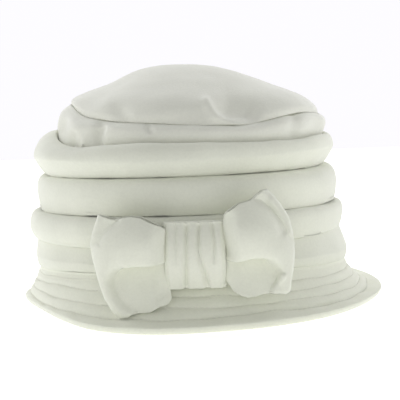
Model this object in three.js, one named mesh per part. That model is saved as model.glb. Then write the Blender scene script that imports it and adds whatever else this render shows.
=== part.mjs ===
// Cloche hat in polar fleece: a soft domed crown, a side tucked into stacked rolls,
// a quilted flared brim and a folded bow at the front.
// Millimetres, +Z up, front towards -Y. The brim's edge rests on z = 0, and the origin
// is the centre of the hat's box at that height.
import * as THREE from 'three';

// ---- Driving sizes ----
const WALL = 2.2; // one layer of fleece
const GAP = 0.3; // clearance between pieces that are sewn together
const STEPS_AROUND = 42; // stations round the head
const AXIS = { x: -7.5, y: 6.4 }; // the head's centre line, from the origin
const FLEECE = { color: 0xdfe0d6, roughness: 0.95, metalness: 0 };

// Rings round the hat. Each has a radius and a height at the front, right, back and left.
const RING = {
  brimSeam: { r: [102, 100.5, 101, 97.5], z: [29, 21.5, 22, 20.5] },
  baseCrest: { r: [104, 101.8, 103, 100], z: [34, 28, 31, 30] },
  baseCrease: { r: [101, 98, 101, 99], z: [43.5, 43.5, 42, 42] },
  thirdCrest: { r: [105, 100.2, 105, 103], z: [52, 54, 52, 50] },
  lowerGroove: { r: [97, 93, 97.5, 95], z: [61.2, 59.3, 61, 59.5] },
  secondCrest: { r: [100.5, 96.4, 101, 97], z: [71.5, 71, 72, 71] },
  upperGroove: { r: [95, 88.5, 96, 92.5], z: [82.8, 82, 83, 81.5] },
  firstCrest: { r: [101, 95, 101, 98.4], z: [92.5, 94.5, 93, 93.5] },
  firstTop: { r: [94.5, 90, 93, 86.5], z: [101.2, 102, 106.5, 109] },
  bandFoot: { r: [87, 85.2, 85, 79.8], z: [92, 92, 92, 92] },
  bandLap: { r: [87, 85.2, 85, 79.8], z: [95.5, 95.5, 96, 96] },
  bandWaist: { r: [89.5, 90, 87.5, 82.8], z: [105.5, 107.5, 109, 112.5] },
  bandRim: { r: [84.5, 87, 83, 74], z: [111.8, 114.8, 118, 126.2] },
  brimBend: { r: [113, 105, 107, 102], z: [11, 8, 8, 10] },
  brimEdge: { r: [128.5, 122.6, 117.5, 107.5], z: [0, 0, 0, 0] },
};

// Slow waves round the hat: where, how wide in degrees, and how far out or up.
const EDGE_WAVES = [
  { at: -14, wide: 26, out: 5.5 },
  { at: -56, wide: 30, out: -7 },
  { at: 30, wide: 24, out: -3 },
  { at: 56, wide: 26, out: -3.8 },
  { at: 150, wide: 36, out: 3 },
  { at: 225, wide: 30, out: -2 },
];
const TIP_SEAM_WAVES = [
  { at: 52, wide: 30, out: 3.8 },
  { at: -38, wide: 30, out: -2.2 },
  { at: -54, wide: 18, out: -1.6 },
  { at: 160, wide: 40, out: -2 },
];
const TOP_ROLL_WAVES = [
  { at: -52, wide: 42, out: -5.6 },
  { at: 62, wide: 24, out: 1 },
  { at: 135, wide: 40, out: -2 },
];

// ---- Shape helpers ----

// A value round the hat from its front, right, back and left values, with angle 0 at the front.
function around(four, angle) {
  const [front, right, back, left] = four;
  const mean = (front + right + back + left) / 4;
  const oval = (front - right + back - left) / 4;
  const forward = (front - back) / 2;
  const sideways = (right - left) / 2;
  return mean + forward * Math.cos(angle) + sideways * Math.sin(angle) + oval * Math.cos(2 * angle);
}

// A ring's point in the plane through the head's axis at an angle.
function onRing(ring, angle) {
  return { r: around(ring.r, angle), z: around(ring.z, angle) };
}

// The seam between the band and the crown tip.
function tipSeam(angle) {
  const seam = onRing(RING.bandRim, angle);
  return { r: seam.r, z: seam.z + bumps(TIP_SEAM_WAVES, angle) };
}

function mix(a, b, t) {
  return a + (b - a) * t;
}

// A smooth hump, 1 at its middle and 0 beyond its width.
function hump(distance, width) {
  const t = Math.min(1, Math.abs(distance) / width);
  return (1 - t * t) ** 2;
}

function angleBetween(a, b) {
  const turn = 2 * Math.PI;
  return ((((a - b) % turn) + 1.5 * turn) % turn) - turn / 2;
}

function bumps(table, angle) {
  const parts = table.map((row) => {
    const away = angleBetween(angle, THREE.MathUtils.degToRad(row.at));
    return row.out * hump(away, THREE.MathUtils.degToRad(row.wide));
  });
  return parts.reduce((sum, part) => sum + part, 0);
}

// The top of the highest roll.
function topRoll(angle) {
  const top = onRing(RING.firstTop, angle);
  return { r: top.r, z: top.z + bumps(TOP_ROLL_WAVES, angle) };
}

function hatPoint(angle, p) {
  return [AXIS.x + p.r * Math.sin(angle), AXIS.y - p.r * Math.cos(angle), p.z];
}

// A quarter of an oval from one point to another, level at the start and upright at the end,
// or the other way round.
function quarter(from, to, count, levelFirst) {
  const points = [];
  for (let i = 1; i <= count; i += 1) {
    const t = (i / count) * (Math.PI / 2);
    const rise = levelFirst ? 1 - Math.cos(t) : Math.sin(t);
    const reach = levelFirst ? Math.sin(t) : 1 - Math.cos(t);
    points.push({ r: mix(from.r, to.r, reach), z: mix(from.z, to.z, rise) });
  }
  return points;
}

// The same line moved sideways by a distance, to the left of its direction.
function offset(line, distance) {
  return line.map((p, i) => {
    const a = line[Math.max(0, i - 1)];
    const b = line[Math.min(line.length - 1, i + 1)];
    const before = direction(a, p) ?? direction(p, b);
    const after = direction(p, b) ?? before;
    const normal = { r: -(before.z + after.z), z: before.r + after.r };
    const size = Math.hypot(normal.r, normal.z);
    const cosine = Math.max(0.6, size / 2);
    const move = distance / cosine / size;
    return { r: p.r + normal.r * move, z: p.z + normal.z * move };
  });
}

function direction(a, b) {
  const size = Math.hypot(b.r - a.r, b.z - a.z);
  if (size < 1e-6) return null;
  return { r: (b.r - a.r) / size, z: (b.z - a.z) / size };
}

// ---- Mesh helpers ----

function meshFrom(name, points, faces) {
  const geometry = new THREE.BufferGeometry();
  geometry.setAttribute('position', new THREE.Float32BufferAttribute(points.flat(), 3));
  geometry.setIndex(faces.flat());
  geometry.computeVertexNormals();
  const material = new THREE.MeshStandardMaterial(FLEECE);
  material.name = 'fleece';
  const mesh = new THREE.Mesh(geometry, material);
  mesh.name = name;
  return mesh;
}

// A wall that closes on itself both ways, from its outlines in order.
function ringOf(name, outlines) {
  const count = outlines[0].length;
  const faces = [];
  outlines.forEach((_, i) => {
    const here = i * count;
    const next = ((i + 1) % outlines.length) * count;
    for (let j = 0; j < count; j += 1) {
      const k = (j + 1) % count;
      faces.push([here + j, next + j, next + k], [here + j, next + k, here + k]);
    }
  });
  return meshFrom(name, outlines.flat(), faces);
}

function stations(count) {
  return Array.from({ length: count }, (_, i) => (i / count) * 2 * Math.PI);
}

// A closed outline carried round the head: outlineAt(angle) gives its points, anticlockwise
// in the plane of radius and height.
function turned(name, outlineAt) {
  const outlines = stations(STEPS_AROUND).map((angle) => {
    return outlineAt(angle).map((p) => hatPoint(angle, p));
  });
  return ringOf(name, outlines);
}

// A sheet with a thickness: front and back are grids of points with the same rows.
function sheet(name, front, back) {
  const rows = front.length;
  const columns = front[0].length;
  const points = [...front.flat(), ...back.flat()];
  const half = rows * columns;
  const faces = [];
  const quad = (a, b, c, d) => faces.push([a, b, c], [a, c, d]);
  for (let i = 0; i + 1 < rows; i += 1) {
    for (let j = 0; j + 1 < columns; j += 1) {
      const a = i * columns + j;
      quad(a, a + 1, a + columns + 1, a + columns);
      quad(half + a, half + a + columns, half + a + columns + 1, half + a + 1);
    }
  }
  for (let j = 0; j + 1 < columns; j += 1) {
    const last = (rows - 1) * columns + j;
    quad(j + 1, j, half + j, half + j + 1);
    quad(last, last + 1, half + last + 1, half + last);
  }
  for (let i = 0; i + 1 < rows; i += 1) {
    const a = i * columns;
    const b = a + columns - 1;
    quad(a, a + columns, half + a + columns, half + a);
    quad(b + columns, b, half + b, half + b + columns);
  }
  return meshFrom(name, points, faces);
}

// Unit normals of a grid of points; "wraps" says that its columns close round.
function gridNormals(grid, wraps) {
  const columns = grid[0].length;
  const at = (i, j) => {
    const row = grid[Math.min(grid.length - 1, Math.max(0, i))];
    const column = wraps ? (j + columns) % columns : Math.min(columns - 1, Math.max(0, j));
    return new THREE.Vector3(...row[column]);
  };
  return grid.map((row, i) => row.map((_, j) => {
    const across = at(i, j + 1).sub(at(i, j - 1));
    const along = at(i + 1, j).sub(at(i - 1, j));
    return across.cross(along).normalize();
  }));
}

// The grid moved along its normals by a distance.
function moved(grid, normals, distance) {
  return grid.map((row, i) => row.map((p, j) => {
    const n = normals[i][j];
    return [p[0] + n.x * distance, p[1] + n.y * distance, p[2] + n.z * distance];
  }));
}

// ---- The pleated side: one wall of fleece, tucked into rolls ----

const TUCK_DEPTH = 6; // how far a tuck's stitched fold lies in from its groove
const TUCK_RISE = 1.4; // and how far above it
const LIP = 0.7; // half the space between two rolls at the groove

// The folded line from the shoulder of the roll below, in to the stitches and out to the
// lip of the roll above.
function tuck(groove) {
  const inner = groove.r - TUCK_DEPTH;
  return [
    { r: inner, z: groove.z + TUCK_RISE - LIP },
    { r: inner - 0.7, z: groove.z + TUCK_RISE },
    { r: inner, z: groove.z + TUCK_RISE + LIP },
    { r: groove.r, z: groove.z + LIP },
  ];
}

function lowered(point, drop) {
  return { r: point.r, z: point.z - drop };
}

function pleatedOutline(angle) {
  const ring = (name) => onRing(RING[name], angle);
  const seam = ring('brimSeam');
  const crease = ring('baseCrease');
  const lower = ring('lowerGroove');
  const upper = ring('upperGroove');
  const top = topRoll(angle);
  const lap = ring('bandLap');
  const foot = ring('bandFoot');
  const line = [
    { r: seam.r - LAP, z: seam.z + 0.9 },
    { r: seam.r, z: seam.z + 0.2 },
    ...quarter(seam, ring('baseCrest'), 2, true),
    ...quarter(ring('baseCrest'), crease, 1, false),
    ...quarter(crease, ring('thirdCrest'), 2, true),
    ...quarter(ring('thirdCrest'), lowered(lower, LIP), 3, false),
    ...tuck(lower),
    ...quarter({ r: lower.r, z: lower.z + LIP }, ring('secondCrest'), 3, true),
    ...quarter(ring('secondCrest'), lowered(upper, LIP), 3, false),
    ...tuck(upper),
    ...quarter({ r: upper.r, z: upper.z + LIP }, ring('firstCrest'), 3, true),
    ...quarter(ring('firstCrest'), top, 3, false),
    ...quarter(top, { r: lap.r + GAP, z: lap.z }, 2, true),
    { r: foot.r + GAP, z: foot.z },
  ];
  return [...line, ...offset(line, WALL).reverse()];
}

// ---- The plain band above the rolls ----

// Soft upright folds: where, how wide in degrees, and how far out.
const BAND_FOLDS = [
  { at: -66, wide: 10, out: -2.2 },
  { at: -50, wide: 9, out: 1.6 },
  { at: -36, wide: 6, out: -1.8 },
  { at: 64, wide: 12, out: -1.6 },
  { at: 130, wide: 14, out: -1.6 },
  { at: 205, wide: 12, out: -1.8 },
];

function bandOutline(angle) {
  const foot = onRing(RING.bandFoot, angle);
  const lap = onRing(RING.bandLap, angle);
  const waist = onRing(RING.bandWaist, angle);
  const rim = tipSeam(angle);
  const roll = topRoll(angle);
  const fold = bumps(BAND_FOLDS, angle);
  const line = [
    foot,
    lap,
    { r: lap.r + 0.2, z: mix(lap.z, roll.z, 0.6) },
    { r: mix(lap.r, waist.r, 0.6), z: roll.z + 0.5 },
    { r: waist.r + fold, z: waist.z },
    { r: mix(waist.r, rim.r, 0.4) + fold * 0.6, z: mix(waist.z, rim.z, 0.6) },
    rim,
  ];
  const inner = offset(line, WALL).slice(0, -1);
  return [...line, { r: rim.r - WALL, z: rim.z }, ...inner.reverse()];
}

// ---- The crown tip ----

const POLE = { x: -5, y: 3, z: 149 }; // the top of the dome, from the head's centre line

// The dome's curve: how far out of the rim's radius, and how far up to the pole.
const DOME = [
  { out: 1, up: 0 },
  { out: 0.97, up: 0.15 },
  { out: 0.91, up: 0.31 },
  { out: 0.82, up: 0.44 },
  { out: 0.67, up: 0.59 },
  { out: 0.51, up: 0.75 },
  { out: 0.34, up: 0.89 },
  { out: 0.18, up: 0.97 },
];

// Dents and swells in the dome: where round it, how far up, how wide in degrees, how tall
// as a share of the rise, and how far out.
const DENTS = [
  { at: -78, up: 0.5, wide: 60, tall: 0.45, out: -3.4 },
  { at: 66, up: 0.5, wide: 50, tall: 0.45, out: -1.8 },
  { at: 20, up: 0.2, wide: 24, tall: 0.24, out: -5 },
  { at: -4, up: 0.3, wide: 20, tall: 0.3, out: 1.8 },
  { at: -30, up: 0.2, wide: 16, tall: 0.2, out: -2 },
  { at: 150, up: 0.35, wide: 40, tall: 0.34, out: -4 },
  { at: 215, up: 0.3, wide: 30, tall: 0.3, out: -3 },
];

function dent(angle, up) {
  const parts = DENTS.map((row) => {
    const away = angleBetween(angle, THREE.MathUtils.degToRad(row.at));
    const side = hump(away, THREE.MathUtils.degToRad(row.wide));
    return row.out * side * hump(up - row.up, row.tall);
  });
  const total = parts.reduce((sum, part) => sum + part, 0);
  return total * THREE.MathUtils.smoothstep(up, 0, 0.15);
}

function tipPoint(angle, row, inwards = 0) {
  const rim = tipSeam(angle);
  const push = dent(angle, row.up);
  const radius = rim.r * row.out + push * 0.8 - inwards;
  const drift = 1 - row.out;
  const x = AXIS.x + POLE.x * drift + radius * Math.sin(angle);
  const y = AXIS.y + POLE.y * drift - radius * Math.cos(angle);
  return [x, y, mix(rim.z + GAP, POLE.z, row.up) + push * 0.6];
}

function crownTip() {
  const outer = DOME.map((row) => stations(STEPS_AROUND).map((angle) => tipPoint(angle, row)));
  const inner = moved(outer, gridNormals(outer, true), -WALL);
  inner[0] = stations(STEPS_AROUND).map((angle) => tipPoint(angle, DOME[0], WALL));
  const top = [AXIS.x + POLE.x, AXIS.y + POLE.y, POLE.z];
  const points = [...outer.flat(), ...inner.flat(), top, [top[0], top[1], top[2] - WALL]];
  const half = outer.length * STEPS_AROUND;
  const faces = [];
  for (let j = 0; j < STEPS_AROUND; j += 1) {
    const k = (j + 1) % STEPS_AROUND;
    for (let i = 0; i + 1 < outer.length; i += 1) {
      const low = i * STEPS_AROUND;
      const high = low + STEPS_AROUND;
      faces.push([low + j, low + k, high + k], [low + j, high + k, high + j]);
      faces.push([half + low + j, half + high + k, half + low + k]);
      faces.push([half + low + j, half + high + j, half + high + k]);
    }
    const last = half - STEPS_AROUND;
    faces.push([last + j, last + k, 2 * half]);
    faces.push([half + last + k, half + last + j, 2 * half + 1]);
    faces.push([j, half + j, half + k], [j, half + k, k]);
  }
  return meshFrom('crown_tip', points, faces);
}

// ---- The brim: two layers quilted by stitched rows, with a plain hem ----

const BRIM_THICK = 3;
const LAP = 3; // how far the brim runs in under the lowest roll
const ROWS = 4; // stitched rows between the seam and the hem
const HEM_SHARE = 0.285; // the hem's share of the brim's slope
const QUILT = 0.8; // how deep a stitched row sinks
const REST_WIDE = 5; // width of the hem that lies flat

// A point down the brim's slope, at a share of the way from the seam to the edge.
function brimSlope(angle, share) {
  const seam = onRing(RING.brimSeam, angle);
  const bend = onRing(RING.brimBend, angle);
  const edge = onRing(RING.brimEdge, angle);
  const wave = bumps(EDGE_WAVES, angle);
  const first = (1 - share) ** 2;
  const middle = 2 * share * (1 - share);
  const last = share ** 2;
  const r = first * seam.r + middle * bend.r + last * (edge.r + wave);
  const z = first * (seam.z - GAP) + middle * bend.z + last * BRIM_THICK;
  return { r, z };
}

function brimOutline(angle) {
  const seam = onRing(RING.brimSeam, angle);
  const top = [];
  const rowShare = (1 - HEM_SHARE) / ROWS;
  for (let row = 0; row < ROWS; row += 1) {
    const puff = brimSlope(angle, (row + 0.5) * rowShare);
    const stitch = brimSlope(angle, (row + 1) * rowShare);
    top.push(puff, { r: stitch.r - QUILT * 0.6, z: stitch.z - QUILT * 0.8 });
  }
  const hem = brimSlope(angle, 1 - HEM_SHARE * 0.5);
  const edge = brimSlope(angle, 1);
  const upper = [{ r: seam.r - LAP, z: seam.z + 0.4 }, { r: seam.r, z: seam.z - GAP }, ...top, hem];
  const under = [0.02, 0.3, 0.55, 0.75].map((share) => {
    const p = brimSlope(angle, share);
    return { r: p.r - BRIM_THICK * 0.7, z: Math.max(0.4, p.z - BRIM_THICK * 0.7) };
  });
  const start = { r: seam.r - LAP, z: seam.z + 0.4 - BRIM_THICK };
  const rest = [{ r: edge.r - REST_WIDE - 1, z: 0 }, { r: edge.r - 1, z: 0 }];
  const lip = [{ r: edge.r, z: BRIM_THICK * 0.5 }, { r: edge.r - 1, z: BRIM_THICK }];
  return [start, ...under, ...rest, ...lip, ...upper.reverse()];
}

// ---- The bow ----

const LAYER = 2; // one layer of the bow's fleece
const BOW_DEEP = 113; // from the head's centre line out to the middle of the bow
const KNOT = { x: 4, wide: 33.6, low: 22.5, high: 59.8, front: 120.6, back: 105.4, ribs: 5 };
const KNOT_ROUND = 16; // points round the knot
const RIB_DEEP = 1.4; // how deep the creases between its ribs are
const GATHERED = 0.31; // share of a loop's reach that lies inside the knot
const GATHERED_HALF = 3.9; // half the space between a loop's layers there
const LOOP_STEPS = 20; // stations along a loop's strip, out and back
const MOUTH_CLEAR = 0.8; // how far beyond the knot's side a loop starts to open
const LOOP_HALF = 7; // half the space between a free loop's layers
const LOOP_CURVE = 5; // how far a loop's outer end bends back towards the hat
const LOOP_LEAN = 10; // how far a loop's foot leans out over the brim

// Each loop: where it starts, sideways from the head's centre line, the outer end from its
// lower corner to its upper one, and its lower and upper edge on the way out from the knot.
const LOOP_LEFT = {
  start: 3.7,
  end: [
    { up: 0, x: -38.5 },
    { up: 0.19, x: -46.3 },
    { up: 0.39, x: -49.7 },
    { up: 0.71, x: -53.2 },
    { up: 0.83, x: -51.8 },
    { up: 1, x: -48.1 },
  ],
  edges: [
    { past: 0, low: 29, high: 54 },
    { past: 0.06, low: 17.5, high: 57.3 },
    { past: 0.21, low: 13, high: 59.8 },
    { past: 0.51, low: 11.6, high: 63.4 },
    { past: 0.75, low: 10.9, high: 62.2 },
    { past: 1, low: 8.4, high: 64.5 },
  ],
};
const LOOP_RIGHT = {
  start: 4.3,
  end: [
    { up: 0, x: 53.5 },
    { up: 0.11, x: 56.1 },
    { up: 0.38, x: 58.2 },
    { up: 0.6, x: 57.4 },
    { up: 0.86, x: 51.3 },
    { up: 1, x: 44.5 },
  ],
  edges: [
    { past: 0, low: 29, high: 54 },
    { past: 0.06, low: 25.5, high: 63.4 },
    { past: 0.19, low: 19.6, high: 65.5 },
    { past: 0.37, low: 17, high: 68.4 },
    { past: 0.6, low: 18.5, high: 69.6 },
    { past: 0.88, low: 18.9, high: 75 },
    { past: 1, low: 18.5, high: 75 },
  ],
};
// The front of each loop sinks into a bowl below a lip: rows across the strip, as the share
// of the way up, how far the bowl's bottom sinks there and how far the cloth swells.
const ACROSS = [
  { up: 0, sink: 0, swell: 0 },
  { up: 0.13, sink: 4, swell: 0 },
  { up: 0.27, sink: 7, swell: 0 },
  { up: 0.41, sink: 8.5, swell: 0 },
  { up: 0.51, sink: 8.5, swell: 1 },
  { up: 0.55, sink: 1, swell: 2 },
  { up: 0.67, sink: 0, swell: 3.5 },
  { up: 0.84, sink: 0, swell: 2.5 },
  { up: 1, sink: 0, swell: 0 },
];
const BOWL_REACH = 0.8; // share of the loop that the bowl takes up

// A value from a table whose rows climb by a key.
function fromTable(rows, key, at, value) {
  const next = Math.max(1, rows.findIndex((row) => row[key] >= at));
  const below = rows[next - 1];
  const above = rows[next];
  return mix(below[value], above[value], (at - below[key]) / (above[key] - below[key]));
}

// The middle of a loop's strip. "way" runs from 0 at the knot's front, round the outer fold at
// 0.5, to 1 at the knot's back.
function loopPoint(loop, way, row) {
  const out = Math.min(1, Math.sin(Math.PI * way));
  const side = Math.cos(Math.PI * way);
  const past = Math.max(0, (out - GATHERED) / (1 - GATHERED));
  const free = THREE.MathUtils.smoothstep(past, 0, 0.3);
  const end = fromTable(loop.end, 'up', row.up, 'x');
  const mouth = KNOT.x + Math.sign(end) * (KNOT.wide / 2 + MOUTH_CLEAR);
  const inside = Math.min(1, out / GATHERED);
  const x = mix(mix(loop.start, mouth, inside), end, past);
  const low = fromTable(loop.edges, 'past', past, 'low');
  const high = fromTable(loop.edges, 'past', past, 'high');
  const lean = LOOP_LEAN * (1 - row.up) ** 2 * free;
  const middle = BOW_DEEP - LOOP_CURVE * past * past + lean;
  const half = mix(GATHERED_HALF, LOOP_HALF, free);
  let deep = middle + Math.sign(side) * Math.abs(side) ** 0.6 * half;
  if (side > 0) {
    const bowl = 1 - THREE.MathUtils.smoothstep(past, BOWL_REACH - 0.25, BOWL_REACH);
    deep += (row.swell * (1 - past ** 3) - row.sink * bowl) * free;
  }
  return [AXIS.x + x, AXIS.y - deep, mix(low, high, row.up)];
}

function bowLoop(name, loop) {
  const middle = Array.from({ length: LOOP_STEPS + 1 }, (_, i) => {
    return ACROSS.map((row) => loopPoint(loop, i / LOOP_STEPS, row));
  });
  const normals = gridNormals(middle, false);
  return sheet(name, moved(middle, normals, LAYER / 2), moved(middle, normals, -LAYER / 2));
}

// A rounded box's outline in depth and height at an angle round it, drawn in by a distance.
function knotPoint(angle, x, inwards) {
  const square = (value) => Math.sign(value) * Math.abs(value) ** 0.35;
  const halfDeep = (KNOT.front - KNOT.back) / 2 - inwards;
  const halfHigh = (KNOT.high - KNOT.low) / 2 - inwards;
  const deep = (KNOT.front + KNOT.back) / 2 + halfDeep * square(Math.cos(angle));
  const z = (KNOT.high + KNOT.low) / 2 + halfHigh * square(Math.sin(angle));
  return [AXIS.x + x, AXIS.y - deep, z];
}

function bowKnot() {
  const count = 2 * KNOT.ribs;
  const outlines = stations(KNOT_ROUND).map((angle) => {
    const outer = [];
    const inner = [];
    for (let i = 0; i <= count; i += 1) {
      const x = KNOT.x + KNOT.wide * (i / count - 0.5);
      const crease = i % 2 === 0 ? RIB_DEEP * Math.max(0, Math.cos(angle)) ** 0.3 : 0;
      outer.push(knotPoint(angle, x, crease));
      inner.push(knotPoint(angle, x, LAYER + 0.1));
    }
    return [...inner, ...outer.reverse()];
  });
  return ringOf('bow_knot', outlines);
}

// ---- The hat ----

const hat = new THREE.Group();
hat.name = 'cloche_hat';
hat.add(crownTip());
hat.add(turned('crown_band', bandOutline));
hat.add(turned('pleated_side', pleatedOutline));
hat.add(turned('brim', brimOutline));
hat.add(bowLoop('bow_loop_left', LOOP_LEFT));
hat.add(bowLoop('bow_loop_right', LOOP_RIGHT));
hat.add(bowKnot());

export default hat;
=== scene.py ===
import math

import bmesh
import bpy
import numpy as np
from mathutils import Matrix, Vector, noise


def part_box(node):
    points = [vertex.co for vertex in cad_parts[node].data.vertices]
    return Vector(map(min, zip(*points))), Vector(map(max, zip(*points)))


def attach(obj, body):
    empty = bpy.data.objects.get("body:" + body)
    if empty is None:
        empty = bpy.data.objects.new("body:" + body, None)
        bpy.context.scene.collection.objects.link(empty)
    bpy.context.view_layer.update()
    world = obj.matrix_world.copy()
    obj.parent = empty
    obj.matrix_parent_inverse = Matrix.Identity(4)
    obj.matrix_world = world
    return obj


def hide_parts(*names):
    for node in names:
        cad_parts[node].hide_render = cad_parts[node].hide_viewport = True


# A cloche hat in white polar fleece: a soft domed tip, a plain band, a side tucked into
# stacked rolls, a quilted brim and a folded bow. Sizes are in millimetres until a mesh is
# made; the mesh is in metres, in the frame's own place.
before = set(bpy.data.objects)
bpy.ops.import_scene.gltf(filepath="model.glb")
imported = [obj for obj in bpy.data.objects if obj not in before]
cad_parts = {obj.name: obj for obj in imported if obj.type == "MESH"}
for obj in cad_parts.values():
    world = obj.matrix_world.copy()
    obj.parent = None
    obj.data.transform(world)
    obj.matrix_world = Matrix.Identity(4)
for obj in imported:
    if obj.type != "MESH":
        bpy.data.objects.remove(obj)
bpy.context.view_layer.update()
MM = 0.001

# ---- Driving sizes ----
WALL = 2.2  # one layer of fleece
GAP = 0.3  # space left between pieces that are sewn together
AROUND = 420  # stations round the head
TURN = 2 * math.pi

KNOT_FRONT = 122.4  # from the head's centre line out to the front of the knot
KNOT_BACK = 105.4  # and to its back
KNOT_X = 4.0  # and sideways to its middle
KNOT_WIDE = 33.6
KNOT_LOW = 22.5  # heights of its bottom and top
KNOT_HIGH = 59.8


def head_axis():
    """The head's centre line, found from where the knot stands in the frame."""
    low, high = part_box("bow_knot")
    x = (low.x + high.x) / 2 / MM - KNOT_X
    y = low.y / MM + KNOT_FRONT
    return x, y


AXIS_X, AXIS_Y = head_axis()

# Rings round the hat: radius and height at the front, right, back and left.
RING = {
    "brim_seam": {"r": (102.2, 100.2, 101.2, 97), "z": (29, 21.5, 22, 23)},
    "base_crest": {"r": (105, 102, 103.5, 99.4), "z": (34.3, 28.5, 31, 31)},
    "base_crease": {"r": (99.5, 97.3, 99.5, 98), "z": (43, 43, 42, 41.5)},
    "third_crest": {"r": (105, 100.2, 105, 103), "z": (52, 54, 52, 50)},
    "lower_groove": {"r": (98, 94.8, 97.5, 95.5), "z": (61.2, 59.3, 61, 59.5)},
    "second_crest": {"r": (100.5, 96.4, 101, 97), "z": (71.5, 71, 72, 71)},
    "upper_groove": {"r": (92.4, 87, 95, 91.5), "z": (82.8, 82, 83, 81.5)},
    "first_crest": {"r": (101, 95, 101, 98.4), "z": (92.5, 94.5, 93, 93.5)},
    "first_top": {"r": (94.5, 90, 93, 83.8), "z": (102, 102, 106.5, 109)},
    "band_foot": {"r": (89.6, 87.4, 86.5, 80.9), "z": (92, 92, 92, 92)},
    "band_lap": {"r": (90, 87.8, 86.8, 81.4), "z": (97, 97, 98, 98)},
    "band_waist": {"r": (90.1, 90.5, 88, 82), "z": (106.3, 108.3, 110, 113)},
    "band_rim": {"r": (84.5, 87, 83, 74), "z": (111.8, 114.8, 118, 126.2)},
    "brim_bend": {"r": (113, 105, 107, 102), "z": (11, 8, 8, 10)},
    "brim_edge": {"r": (128.5, 122.6, 117.5, 107.5), "z": (0, 0, 0, 0)},
}

# Slow waves round the hat: where in degrees, how wide, and how far out or up in mm, or for
# the hem by what share of the brim's width.
EDGE_WAVES = [
    {"at": -14, "wide": 26, "out": 5.5},
    {"at": -56, "wide": 30, "out": -7},
    {"at": 30, "wide": 24, "out": -1},
    {"at": 56, "wide": 22, "out": -1.4},
    {"at": 150, "wide": 36, "out": 2},
    {"at": 225, "wide": 30, "out": -2},
]
TIP_SEAM_WAVES = [
    {"at": 52, "wide": 30, "out": 3.8},
    {"at": -38, "wide": 30, "out": -2.2},
    {"at": -54, "wide": 18, "out": -1.6},
    {"at": 160, "wide": 40, "out": -2},
]
TOP_ROLL_WAVES = [
    {"at": -52, "wide": 42, "out": -5.6},
    {"at": 62, "wide": 24, "out": 1},
    {"at": 135, "wide": 40, "out": -2},
]
HEM_WAVES = [
    {"at": -40, "wide": 70, "out": -0.05},
    {"at": 62, "wide": 46, "out": -0.06},
]


# ---- Shape helpers ----


def around(four, angle):
    """A value round the hat from its front, right, back and left values, front at angle 0."""
    front, right, back, left = four
    mean = (front + right + back + left) / 4
    oval = (front - right + back - left) / 4
    forward = (front - back) / 2
    sideways = (right - left) / 2
    return mean + forward * np.cos(angle) + sideways * np.sin(angle) + oval * np.cos(2 * angle)


def ring(name, angle):
    """A ring's radius and height at each angle, as rows of one array."""
    return np.array([around(RING[name]["r"], angle), around(RING[name]["z"], angle)])


def hump(distance, width):
    """1 at its middle, 0 beyond its width, and smooth between."""
    t = np.minimum(1, np.abs(distance) / width)
    return (1 - t * t) ** 2


def angle_between(a, b):
    """The turn from b to a, at most half a turn either way."""
    return (a - b + 1.5 * TURN) % TURN - TURN / 2


def waves(table, angle):
    """What a table of slow waves adds up to at each angle."""
    total = np.zeros_like(angle)
    for row in table:
        away = angle_between(angle, math.radians(row["at"]))
        total += row["out"] * hump(away, math.radians(row["wide"]))
    return total


def smooth(t, low, high):
    """0 up to low, 1 from high on, and an even curve between."""
    t = np.clip((t - low) / (high - low), 0, 1)
    return t * t * (3 - 2 * t)


def mix(a, b, t):
    return a + (b - a) * t


def quarter(start, end, count, level_first, square=1.0):
    """A quarter of an oval between two rings, without its first point: square below 1 fills
    its corner out, and above 1 cuts it off."""
    points = []
    for i in range(1, count + 1):
        t = i / count * math.pi / 2
        away = math.sin(t) ** square
        back = 1 - max(0.0, math.cos(t)) ** square
        reach, rise = (away, back) if level_first else (back, away)
        points.append(start + (end - start) * np.array([[reach], [rise]]))
    return points


def spline(rows, count):
    """Points along a smooth curve through the given ones."""
    rows = np.array(rows, float)
    ends = [2 * rows[0] - rows[1], *rows, 2 * rows[-1] - rows[-2]]
    at = np.linspace(0, len(rows) - 1, count)
    points = []
    for t in at:
        i = min(int(t), len(rows) - 2)
        f = t - i
        a, b, c, d = ends[i : i + 4]
        points.append(
            b
            + 0.5 * f * (c - a + f * (2 * a - 5 * b + 4 * c - d + f * (3 * (b - c) + d - a)))
        )
    return np.array(points)


def lookup(rows, key, value, at):
    """A table's value, straight between its rows."""
    return np.interp(at, [row[key] for row in rows], [row[value] for row in rows])


def round_head(line, angle):
    """Points round the head from (point, radius or height, angle), as point x angle x 3."""
    x = AXIS_X + line[:, 0] * np.sin(angle)
    y = AXIS_Y - line[:, 0] * np.cos(angle)
    return np.stack([x, y, line[:, 1]], axis=2)


def uneven(points, size, seed):
    """Soft unevenness from -1 to 1 at each point, with lumps of that size."""
    shift = Vector((seed * 7.3, seed * 3.1, seed * 5.7))
    flat = points.reshape(-1, 3) / size
    values = [noise.noise(Vector(p) + shift) for p in flat]
    return np.array(values).reshape(points.shape[:-1])


def to_line(x, z, line):
    """How far each point is from a smooth line through the given ones."""
    corners = spline(np.array(line, float), 6 * (len(line) - 1) + 1)
    best = np.full(np.shape(x), 1e9)
    for a, b in zip(corners[:-1], corners[1:]):
        side = b - a
        t = np.clip(((x - a[0]) * side[0] + (z - a[1]) * side[1]) / (side @ side), 0, 1)
        best = np.minimum(best, np.hypot(x - a[0] - t * side[0], z - a[1] - t * side[1]))
    return best


def folds_out(x, z, folds):
    """How far soft folds and dents push the cloth out, seen from the front."""
    total = np.zeros(np.shape(x))
    for fold in folds:
        away = to_line(x, z, fold["line"]) / fold["wide"]
        total += fold["out"] * np.exp(-(away**2))
    return total


def station_angles():
    """The angles, round the head from its front, at which a shell's points lie."""
    return np.arange(AROUND) / AROUND * TURN


# ---- Mesh helpers ----


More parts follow.
